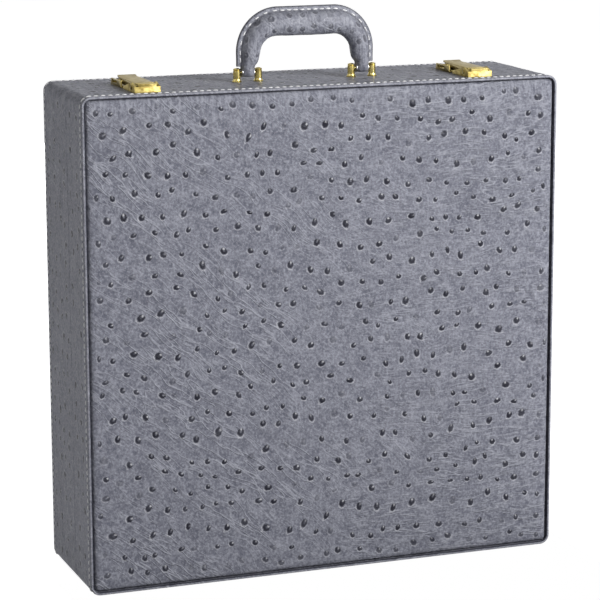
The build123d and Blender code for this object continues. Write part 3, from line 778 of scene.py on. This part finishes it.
def addPanel(name, node, body, outward, seed):
    low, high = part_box(node)
    halfX = (high.x - low.x) / 2 + panel["spread"]
    halfZ = (high.z - low.z) / 2 + panel["spread"]
    midZ = (high.z + low.z) / 2
    backY = high.y if outward < 0 else low.y
    roll, skirt, cells = panel["roll"], panel["skirt"], panel["cells"]
    arc = roll * math.pi / 2
    coreX, coreZ = halfX - roll, halfZ - roll
    grownX, grownZ = coreX + arc + skirt, coreZ + arc + skirt
    cellX = 2 * (grownX - panel["cellsFrom"]) / cells
    cellZ = 2 * (grownZ - panel["cellsFrom"]) / cells
    inner = cells * quill["steps"]
    edge = panel["edgeSteps"]
    sheet, col, row = flatGrid(inner + 2 * edge, inner + 2 * edge)
    gx = (col - edge) / quill["steps"]
    gy = (row - edge) / quill["steps"]
    inside = (gx >= 0) & (gx <= cells) & (gy >= 0) & (gy <= cells)
    onX, onZ = np.clip(gx, 0, cells), np.clip(gy, 0, cells)
    u, v, bump, hide = quillField(onX, onZ, cellX, cellZ, seed)
    u -= cells * cellX / 2
    v -= cells * cellZ / 2
    for g, way in ((gx, u), (gy, v)):  # the edge past the outer quills
        over = np.maximum(np.maximum(-g, g - cells), 0) * quill["steps"] / edge
        way += np.sign(g - cells / 2) * over * panel["cellsFrom"]
    bump = bump * inside
    rim = np.minimum(grownX - np.abs(u), grownZ - np.abs(v))
    calm = smoothStep(rim / panel["calmWithin"])
    rowTurn = (v + cells * cellZ / 2) / cellZ * math.pi
    aside = np.clip(panel["staggerSharp"] * np.sin(rowTurn), -1, 1) * panel["stagger"] * cellX
    u += aside * smoothStep((grownX - np.abs(u)) / panel["staggerFrom"])
    shiftX = ripples(u, v, seed + 1, *panel["driftWaves"]) * panel["drift"] * calm
    shiftZ = ripples(u, v, seed + 2, *panel["driftWaves"]) * panel["drift"] * calm
    shiftZ += ripples(u, v, seed + 4, *panel["swayWaves"]) * panel["sway"] * calm
    u, v = u + shiftX, v + shiftZ
    x, z, outX, outZ, lean, drop = rolledOver(u, v, coreX, coreZ, roll)
    rise = crowned(u, v, coreX, coreZ, panel["crownReach"])
    fade = smoothStep((rim - panel["fadeFrom"]) / panel["fadeOver"])
    wave = ripples(u, v, seed + 3, *panel["waveLengths"]) * panel["waves"] * fade
    lift = bump * (panel["edgeLift"] + (1 - panel["edgeLift"]) * fade) + wave
    height = skirt + roll - drop + panel["crown"] * rise + lift * np.cos(lean)
    x += outX * np.sin(lean) * lift
    z += outZ * np.sin(lean) * lift
    setPoints(sheet, x, backY + outward * height, midZ + z)
    shown = panel["edgeStrength"] + (1 - panel["edgeStrength"]) * fade
    paintHide(sheet.data, hide, ~inside, shown)
    named(sheet, name)
    closeBack(sheet, backY)
    seat(sheet, body, "ostrich_leather", caseLeather, node)


addPanel("front_padding", "lid_panel", "lid", -1, seed=11)
addPanel("back_padding", "base_panel", "base", 1, seed=47)
print("padded panels are made")


# Velvet cushion inside the lid: crowned, with a rolled edge
cushion = {
    "roll": 3.4 * mm,
    "skirt": 1.2 * mm,
    "crown": 2.2 * mm,
    "crownReach": 40 * mm,
    "waves": 0.25 * mm,
    "waveLengths": (30 * mm, 90 * mm),
    "steps": 120,
    "edgeShares": (0, 0.3, 0.5, 0.62, 0.72, 0.8, 0.88, 0.94, 1.0),  # rows over the rolled edge
}


def cushionPlaces(index, core):  # where each row of points lies, from the middle
    count, rolled = cushion["steps"], len(cushion["edgeShares"]) - 1
    edge = cushion["roll"] * math.pi / 2 + cushion["skirt"]
    near = np.minimum(index, count - index)
    over = np.interp(near, range(rolled + 1), edge * (1 - np.array(cushion["edgeShares"])))
    flat = np.clip(index, rolled, count - rolled) - rolled
    inner = core * (1 - 2 * flat / (count - 2 * rolled))
    return np.where(near < rolled, np.sign(index - count / 2) * (core + over), -inner)


def addCushion():
    low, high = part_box("lid_pad")
    halfX, halfZ = (high.x - low.x) / 2, (high.z - low.z) / 2
    midZ = (high.z + low.z) / 2
    sheet, col, row = flatGrid(cushion["steps"], cushion["steps"])
    roll, skirt = cushion["roll"], cushion["skirt"]
    coreX, coreZ = halfX - roll, halfZ - roll
    u, v = cushionPlaces(col, coreX), cushionPlaces(row, coreZ)
    x, z, *_, drop = rolledOver(u, v, coreX, coreZ, roll)
    rise = crowned(u, v, coreX, coreZ, cushion["crownReach"])
    wave = ripples(u, v, 71, *cushion["waveLengths"]) * cushion["waves"] * rise
    height = roll + skirt - drop + cushion["crown"] * rise + wave
    setPoints(sheet, x, low.y + height, midZ + z)
    named(sheet, "lid_cushion")
    closeBack(sheet, low.y)
    seat(sheet, "lid", "velvet_lining", velvet, "lid_pad")


addCushion()
print("lid cushion is made")


# Leather bands round the two halves: a folded rim, a sewn seam, the hide with its quills and
# the parting edge
band = {
    "corner": 9.0 * mm,
    "cornerSteps": 8,
    "rimThick": 2.7 * mm,
    "rimFold": 8.0 * mm,
    "rimRound": 0.9 * mm,
    "leather": 1.3 * mm,
    "edgeRound": 0.5 * mm,
    "cells": 25,
    "quillsFrom": 8.5 * mm,
    "quillsTo": 3.0 * mm,
    "waves": 0.14 * mm,
    "waveLengths": (20 * mm, 60 * mm),
    "quillLift": 0.55,
    "faint": 0.28,
    "drift": 3.2 * mm,
    "driftWaves": (30 * mm, 80 * mm),
    "rimEdgeHighlight": 0.18,  # painted highlight on the rounded edge of the rim
    "foldShade": 0.88,  # painted shade in the groove beside the padded panel
    "seamAt": 5.5 * mm,
    "seamDepth": 0.4 * mm,
    "seamSide": 0.8 * mm,
    "seamRise": 0.05 * mm,
    "holeWide": 0.9 * mm,
    "hingeRebate": 3.8 * mm,
    "rebateHeight": 2.8 * mm,
}
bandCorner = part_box("lid_band")[1]
outlineHalf, outlineTop = bandCorner.x, bandCorner.z
fittings = ["latch_left_bracket", "latch_right_bracket", "latch_left_catch", "latch_right_catch"]
fittings += ["handle_post_" + str(i) for i in (1, 2, 3, 4)]


def outlineRuns():  # lengths of sides and corners, from the bottom left and round by the right
    arc = band["corner"] * math.pi / 2
    wide, tall = 2 * (outlineHalf - band["corner"]), outlineTop - 2 * band["corner"]
    return np.array([wide, arc, tall, arc, wide, arc, tall, arc])


def onOutline(s, out=0.0):  # place s along the outline and out from it, and the outward way
    radius = band["corner"]
    starts = np.concatenate([[0], np.cumsum(outlineRuns())])
    s = np.asarray(s, float) % starts[-1]
    run = np.clip(np.searchsorted(starts, s, side="right") - 1, 0, 7)
    t = s - starts[run]
    bent = run % 2 == 1
    heading = (run // 2) * math.pi / 2 + np.where(bent, t / radius, 0)
    outX, outZ = np.sin(heading), -np.cos(heading)
    corner = np.where(bent, run // 2, (run // 2 + 3) % 4)
    side = outlineHalf - radius
    cornerX = np.array([side, side, -side, -side])[corner]
    cornerZ = np.array([radius, outlineTop - radius, outlineTop - radius, radius])[corner]
    x = cornerX + outX * (radius + out) + np.where(bent, 0, t) * np.cos(heading)
    z = cornerZ + outZ * (radius + out) + np.where(bent, 0, t) * np.sin(heading)
    return x, z, outX, outZ


def outside(values, low, high):  # how far each value lies outside a range
    return np.maximum(np.abs(values - (low + high) / 2) - (high - low) / 2, 0)


def clearOfFittings(x, y, z, space=2.5 * mm):  # 0 under a metal fitting on the top, else 1
    free = np.ones_like(x)
    for name in fittings:
        low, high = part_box(name)
        away = np.hypot(outside(x, low.x, high.x), outside(y, low.y, high.y))
        near = smoothStep(away / space)
        free = np.minimum(free, np.where(z > outlineTop - 5 * mm, near, 1))
    return free


def quarterTurn(radius):  # four points of a rounded edge
    steps = [math.radians(a) for a in (0, 30, 60, 90)]
    return [(radius * math.sin(a), radius * math.cos(a)) for a in steps]


# The band's section: distance from the rim plane, outward, and the row of quills or -1
def bandRows(depth, quillRows):
    fold, thick, turn = band["rimFold"], band["rimThick"], band["rimRound"]
    rows = [(fold, -thick, -1), (fold / 2, -thick, -1)]
    rows += [(turn - a, -thick + turn - b, -1) for a, b in quarterTurn(turn)]
    rows += [(turn - b, -turn + a, -1) for a, b in quarterTurn(turn)]
    seam, side, rise = band["seamAt"], band["seamSide"], band["seamRise"]
    rows += [(2.4 * mm, 0.0, -1), (seam - 2 * side, rise, -1), (seam - side, 0.0, -1),
             (seam, -band["seamDepth"], -1), (seam + side, 0.0, -1), (seam + 2 * side, rise, -1)]
    rows += [(0.0, 0.0, i / quill["steps"]) for i in range(quillRows * quill["steps"] + 1)]
    turn = band["edgeRound"]
    rows.append((depth - turn - 1.0 * mm, 0.0, -1))
    rows += [(depth - turn + a, -turn + b, -1) for a, b in quarterTurn(turn)]
    rows += [(depth, -band["leather"], -1), (fold, -band["leather"], -1), (fold, -thick, -1)]
    return np.array(rows)


def addBand(name, node, body, inward, quillRows, seed):
    low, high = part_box(node)
    rimY = low.y if inward > 0 else high.y
    depth = high.y - low.y
    rows = bandRows(depth, quillRows)
    steps, cells, cornerSteps = quill["steps"], band["cells"], band["cornerSteps"]
    perSide = cells * steps + cornerSteps
    sheet, col, row = flatGrid(4 * perSide, len(rows) - 1)
    runs = outlineRuns()
    starts = np.concatenate([[0], np.cumsum(runs)])
    side = np.minimum(col // perSide, 3)
    local = col - side * perSide
    bent = local > cells * steps
    gx = np.minimum(local / steps, cells)
    s = starts[2 * side] + gx / cells * runs[2 * side]
    s = s + np.where(bent, (local - cells * steps) / cornerSteps * runs[1], 0)
    away, out, gy = rows[row, 0], rows[row, 1], rows[row, 2]
    onHide = gy >= 0
    cellY = (depth - band["quillsFrom"] - band["quillsTo"]) / quillRows
    away = np.where(onHide, band["quillsFrom"] + np.maximum(gy, 0) * cellY, away)
    bump, hide = np.zeros_like(s), bareHide(len(s))
    for k in range(4):
        own = onHide & (side == k) & ~bent
        cellX = runs[2 * k] / cells
        along, deep, lift, marks = quillField(
            gx[own], gy[own], cellX, cellY, seed + k, band["faint"])
        mid = np.minimum(along, runs[2 * k] - along)
        sway = ripples(along, deep, seed + 20 + k, *band["driftWaves"]) * band["drift"]
        sway = sway * smoothStep(mid / (30 * mm))
        s[own] = starts[2 * k] + along + sway
        away[own] = band["quillsFrom"] + deep
        bump[own] = lift
        for key in hide:
            hide[key][own] = marks[key]
    x, z = onOutline(s)[:2]
    lowEdge = z < band["rebateHeight"]
    short = (depth - band["hingeRebate"] - band["quillsFrom"]) / (depth - band["quillsFrom"])
    past = np.maximum(away - band["quillsFrom"], 0)
    away = np.where(lowEdge, away - past * (1 - short), away)
    y = rimY + inward * away
    outer = (row >= 9) & (row <= len(rows) - 8)  # the rows on the outside, past the folded rim
    seamFree = smoothStep((starts[-1] / 2 - np.abs(s - starts[-1] / 2)) / (15 * mm))
    calm = clearOfFittings(x, y, z) * smoothStep((away - 2 * mm) / (8 * mm)) * seamFree
    calm = calm * smoothStep((depth - band["hingeRebate"] - away) / (8 * mm))
    wave = ripples(s, away, seed + 9, *band["waveLengths"]) * band["waves"] * calm * outer
    out = out + bump * band["quillLift"] * clearOfFittings(x, y, z) + wave
    x, z = onOutline(s, out)[:2]
    setPoints(sheet, x, y, z)
    pitch = starts[-1] / stitchCount()
    toHole = np.abs((s / pitch) % 1 - 0.5) * pitch
    seamRow = np.abs(away - band["seamAt"]) < 0.1 * mm
    # Painted shade in the needle holes and, more faintly, all along the seam groove
    hole = 0.75 * np.exp(-((pitch / 2 - toHole) / band["holeWide"]) ** 2) + 0.15
    holes = np.where(seamRow & outer, hole, 0)
    # Painted shade on the rim's folded face, beside the padded panel
    fold = np.where((row >= 2) & (row <= 4), band["foldShade"], 0)
    paint(sheet.data, "seamShade", np.maximum(holes, fold))
    # Painted highlight on the rim's rounded edge
    rimHighlightLine = np.where((row == 6) | (row == 7), band["rimEdgeHighlight"], 0)
    paint(sheet.data, "paintedRimHighlight", rimHighlightLine)
    paintHide(sheet.data, hide, ~onHide | bent, clearOfFittings(x, y, z))
    named(sheet, name)
    tidyFaces(sheet)
    seat(sheet, body, "ostrich_leather", caseLeather, node)


# Sewing: one stitch is modelled and copied along each seam
stitch = {
    "length": 4.9 * mm,
    "radius": 0.70 * mm,
    "pitch": 6.5 * mm,
    "dip": 0.50 * mm,
    "proud": 0.12 * mm,
}


def stitchCount():
    return int(round(outlineRuns().sum() / stitch["pitch"]))


def oneStitch(length):
    clearSelection()
    bpy.ops.mesh.primitive_uv_sphere_add(segments=8, ring_count=7, rotation=(0, math.pi / 2, 0))
    bpy.ops.object.transform_apply(rotation=True)
    obj = bpy.context.active_object
    co = points(obj.data)
    along = np.sign(co[:, 0]) * np.abs(co[:, 0]) ** 0.75
    co[:, 0] = along * length / 2
    co[:, 1] *= stitch["radius"]
    co[:, 2] = co[:, 2] * stitch["radius"] + stitch["proud"] - stitch["dip"] * np.abs(along) ** 3
    faces = [list(face.vertices) for face in obj.data.polygons]
    bpy.ops.object.delete()
    return co, faces


def sew(name, body, slot, length, places):  # places: (point, along, outward) of each stitch
    shape, faces = oneStitch(length)
    verts, polys = [], []
    for point, along, outward in places:
        across = np.cross(outward, along)
        turned = np.outer(shape[:, 0], along) + np.outer(shape[:, 1], across)
        turned = turned + np.outer(shape[:, 2], outward)
        start = len(verts) * len(shape)
        verts.append(turned + point)
        polys += [[start + i for i in face] for face in faces]
    mesh = bpy.data.meshes.new(name)
    mesh.from_pydata(np.concatenate(verts).tolist(), [], polys)
    seam = bpy.data.objects.new(name, mesh)
    bpy.context.scene.collection.objects.link(seam)
    takeUp(seam)
    bpy.ops.object.shade_smooth()
    seat(seam, body, slot, thread)


def sewRim(name, node, body, inward):
    low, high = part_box(node)
    y = (low.y if inward > 0 else high.y) + inward * band["seamAt"]
    count = stitchCount()
    s = (np.arange(count) + 0.5) / count * outlineRuns().sum()
    x, z, outX, outZ = onOutline(s)
    places = []
    for i in range(count):
        along = np.array([-outZ[i], 0, outX[i]])
        places.append((np.array([x[i], y, z[i]]), along, np.array([outX[i], 0, outZ[i]])))
    sew(name, body, "ostrich_leather", stitch["length"], places)


addBand("lid_leather", "lid_band", "lid", 1, 2, seed=101)
addBand("base_leather", "base_band", "base", -1, 4, seed=151)
sewRim("lid_stitching", "lid_band", "lid", 1)
sewRim("base_stitching", "base_band", "base", -1)
print("bands and rim stitching are made")


# Handle: a padded leather tube on the core, its two edges sewn into a flat seam on the outside
grip = {
    "halfSpan": 56.2 * mm,
    "lean": 2.8 * mm,  # by this much the leg leans inwards from the eye to the bend
    "middleLean": 2.0 * mm,
    "bend": 26.0 * mm,
    "barRadius": 11.0 * mm,
    "legRadius": 6.55 * mm,
    "middleRadius": 8.0 * mm,
    "shoulderRadius": 8.8 * mm,
    "eyeRadius": 4.2 * mm,
    "neck": 5.6 * mm,  # above the pivot, where the leg starts to thicken
    "middleAt": 9.7 * mm,
    "seamStart": 5.3 * mm,
    "legReach": 13.8 * mm,
    "barReach": 16.1 * mm,
    "seamThick": 3.2 * mm,
    "cellsAlong": 12,
    "cellsRound": 5,
    "endSteps": 9,
    "fin": ((0.25, 1.0), (0.5, 0.82), (0.8, 1.0)),  # seam: share of the way out, thickness
    "finTip": (45, 90, 135),
    "quillLift": 0.18,
    "quillShade": 0.6,
    "waves": 0.20 * mm,
    "waveLengths": (14 * mm, 34 * mm),
    "rawEdgeShade": 0.75,
    "valleyShade": 0.5,
    "stitchPitch": 6.3 * mm,
    "stitchLength": 4.9 * mm,
    "stitchAt": 0.30,
    "stitchSunk": 0.41,
}
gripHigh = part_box("handle_grip")[1]
pinLow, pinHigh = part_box("handle_pins")
pivotZ = (pinLow.z + pinHigh.z) / 2
handleY = (pinLow.y + pinHigh.y) / 2
barZ = gripHigh.z - grip["barReach"]
legLength = barZ - grip["bend"] - pivotZ
bendLength = grip["bend"] * math.pi / 2
barHalf = grip["halfSpan"] - grip["lean"] - grip["bend"]
halfLength = legLength + bendLength + barHalf


def fromPivot(t):  # distance from the nearer pivot
    return halfLength - np.abs(t - halfLength)


def footShift(d):  # how far the leg's centre lies outside the start of the bend
    lean = grip["lean"]
    at = [0, grip["neck"], grip["middleAt"], legLength]
    return np.interp(d, at, [lean, lean, lean - grip["middleLean"], 0])


# The centre line from the left pivot over the bar to the right pivot: x, z and the outward way
def gripLine(t):
    d = fromPivot(t)
    side = np.sign(t - halfLength + 1e-12)
    turn = np.clip((d - legLength) / bendLength, 0, 1) * math.pi / 2
    onBar = np.maximum(d - legLength - bendLength, 0)
    x = barHalf + grip["bend"] * np.cos(turn) - onBar + footShift(d)
    z = pivotZ + np.minimum(d, legLength) + grip["bend"] * np.sin(turn)
    return side * x, z, side * np.cos(turn), np.sin(turn)


def gripRadius(t):
    d = fromPivot(t)
    at = [0, grip["neck"], grip["middleAt"], legLength, legLength + bendLength]
    keys = ("legRadius", "legRadius", "middleRadius", "shoulderRadius", "barRadius")
    sizes = [grip[key] for key in keys]
    total = np.zeros_like(d)
    for shift in (-2, -1, 0, 1, 2):  # average of five places, which rounds the steps
        total += np.interp(d + shift * mm, at, sizes)
    return np.where(d < grip["neck"] - 1 * mm, grip["legRadius"], total / 5)


def seamReach(t):
    d = fromPivot(t)
    blend = smoothStep((d - legLength * 0.6) / (bendLength + legLength * 0.4))
    full = grip["legReach"] + (grip["barReach"] - grip["legReach"]) * blend - footShift(d)
    start = np.clip((d - grip["seamStart"]) / (0.5 * mm), 0, 1)
    bare = gripRadius(t)
    return bare + np.maximum(full - bare, 0) * start


def addGrip():
    steps, endSteps = quill["steps"], grip["endSteps"]
    along, around = grip["cellsAlong"] * steps, grip["cellsRound"] * steps
    sideRows, tipRows = len(grip["fin"]), len(grip["finTip"])
    loop = around + sideRows * 2 + tipRows + 1
    sheet, col, row = flatGrid(along + 2 * endSteps, loop)
    first = grip["neck"] + 2 * mm
    cellX = 2 * (halfLength - first) / grip["cellsAlong"]
    halfThick = grip["seamThick"] / 2
    cellY = (math.tau * grip["barRadius"] - grip["seamThick"]) / grip["cellsRound"]
    gx = np.clip((col - endSteps) / steps, 0, grip["cellsAlong"])
    gy = np.clip(row / steps, 0, grip["cellsRound"])
    u, v, bump, hide = quillField(gx, gy, cellX, cellY, 301)
    onTube = (row <= around) & (col >= endSteps) & (col <= along + endSteps)
    u = np.where(onTube, u, gx * cellX)
    v = np.where(onTube, v, gy * cellY)
    bump = bump * onTube * grip["quillLift"]
    over = np.maximum(np.maximum(endSteps - col, col - along - endSteps), 0)
    seamEnd = first - grip["seamStart"]
    eye = grip["eyeRadius"]
    drops = [0, seamEnd - 0.5 * mm, seamEnd, first - 3 * mm, first]
    drops += [first + share * eye for share in (0.4, 0.66, 0.85, 0.96, 1.0)]
    endDrop = np.interp(over, range(endSteps + 1), drops)
    endSide = np.where(col < endSteps, -1, 1)
    t = first + u + endSide * endDrop
    below = np.maximum(np.abs(t - halfLength) - halfLength, 0)  # past the pivot, round the eye
    inRange = np.clip(t, 0, 2 * halfLength)
    x, z, outX, outZ = gripLine(inRange)
    z = z - below
    radius = gripRadius(inRange)
    thin = np.sqrt(np.maximum(eye ** 2 - below ** 2, 0)) / eye
    thin = np.where(below > 0, thin, 1.0)
    half = np.arcsin(np.clip(halfThick / radius, 0, 0.6))
    angle = half + v / (grip["cellsRound"] * cellY) * (math.tau - 2 * half)
    wave = ripples(u, v, 305, *grip["waveLengths"]) * grip["waves"] * onTube
    wave = wave * smoothStep(np.minimum(u, 2 * (halfLength - first) - u) / (12 * mm))
    fromSeam = np.minimum(v, grip["cellsRound"] * cellY - v)
    radial = radius + bump + wave * smoothStep(fromSeam / (6 * mm))
    outward = radial * np.cos(angle)
    sideways = radial * np.sin(angle)
    reach = seamReach(inRange)
    shelf, lip = radius * np.cos(half), halfThick * 0.7
    fin = [(shelf + (reach - lip - shelf) * far, -halfThick * thick) for far, thick in grip["fin"]]
    tip = [(reach - lip * (1 - math.sin(a)), -halfThick * math.cos(a))
           for a in map(math.radians, grip["finTip"])]
    otherSide = [(far, -aside) for far, aside in reversed(fin)]
    for i, (far, aside) in enumerate(fin + tip + otherSide + [(shelf, halfThick)]):
        here = row == around + 1 + i
        outward = np.where(here, far, outward)
        sideways = np.where(here, aside, sideways)
    px = x + outX * outward
    pz = z + outZ * outward
    py = handleY + sideways * thin
    rawEdge = (row > around + sideRows) & (row <= around + sideRows + tipRows)
    valley = (row == around + 1) | (row == loop) | (row == 0) | (row == around)
    hasFin = reach > radius + 1 * mm
    # The raw edge of the seam is painted dark, and the valleys where the tube meets the seam get
    # painted shade
    shade = np.where(rawEdge & hasFin, grip["rawEdgeShade"], 0.0)
    shade = np.where(valley & hasFin, np.maximum(shade, grip["valleyShade"]), shade)
    setPoints(sheet, px, py, pz)
    paint(sheet.data, "seamShade", shade)
    paintHide(sheet.data, hide, ~onTube, grip["quillShade"])
    named(sheet, "handle_padding")
    tidyFaces(sheet)
    seat(sheet, "handle", "handle_leather", gripLeather, "handle_grip")


def sewGrip():
    first = grip["seamStart"] + 3 * mm
    count = int((2 * (halfLength - first)) / grip["stitchPitch"])
    t = first + (np.arange(count) + 0.5) / count * 2 * (halfLength - first)
    x, z, outX, outZ = gripLine(t)
    radius, reach = gripRadius(t), seamReach(t)
    places = []
    for i in range(count):
        far = radius[i] + (reach[i] - radius[i]) * grip["stitchAt"]
        along = np.array([outZ[i], 0, -outX[i]])
        for side in (-1, 1):
            y = handleY + side * grip["seamThick"] * grip["stitchSunk"]
            point = np.array([x[i] + outX[i] * far, y, z[i] + outZ[i] * far])
            places.append((point, along, np.array([0.0, side, 0.0])))
    sew("handle_stitching", "handle", "handle_leather", grip["stitchLength"], places)


addGrip()
sewGrip()
print("handle is made")


# Fittings: the brass nodes again, with the small rounding that polished edges have
fitting = {
    "edge": 0.28 * mm,
    "segments": 2,
    "sharpFrom": 28,
    "smoothTo": 40,
    "mergeAt": 0.002 * mm,
}


def softEdged(name, node, body, material):
    copy = bpy.data.objects.new(name, frame["nodes"][node].data.copy())
    bpy.context.scene.collection.objects.link(copy)
    takeUp(copy)
    bpy.ops.mesh.customdata_custom_splitnormals_clear()
    switchTo("EDIT")
    bpy.ops.mesh.select_all(action="SELECT")
    bpy.ops.mesh.remove_doubles(threshold=fitting["mergeAt"])
    bpy.ops.mesh.dissolve_limited(angle_limit=math.radians(1.0))
    switchTo("OBJECT")
    bevel = copy.modifiers.new("roundedEdge", "BEVEL")
    bevel.width = fitting["edge"]
    bevel.segments = fitting["segments"]
    bevel.limit_method = "ANGLE"
    bevel.angle_limit = math.radians(fitting["sharpFrom"])
    bevel.use_clamp_overlap = True
    bpy.ops.object.modifier_apply(modifier="roundedEdge")
    bpy.ops.object.shade_smooth_by_angle(angle=math.radians(fitting["smoothTo"]))
    named(copy, name)
    seat(copy, body, "polished_brass", material, node)


# The brackets, hasps and catches take the darker brass copies, which paint shade into the brass
for side in ("left", "right"):
    softEdged(side + "_bracket", "latch_" + side + "_bracket", "lid", satinShadedBrass)
    softEdged(side + "_hasp", "latch_" + side + "_hasp", "hasp_" + side, dullShadedBrass)
    softEdged(side + "_catch", "latch_" + side + "_catch", "base", dullShadedBrass)
print("fittings are made")
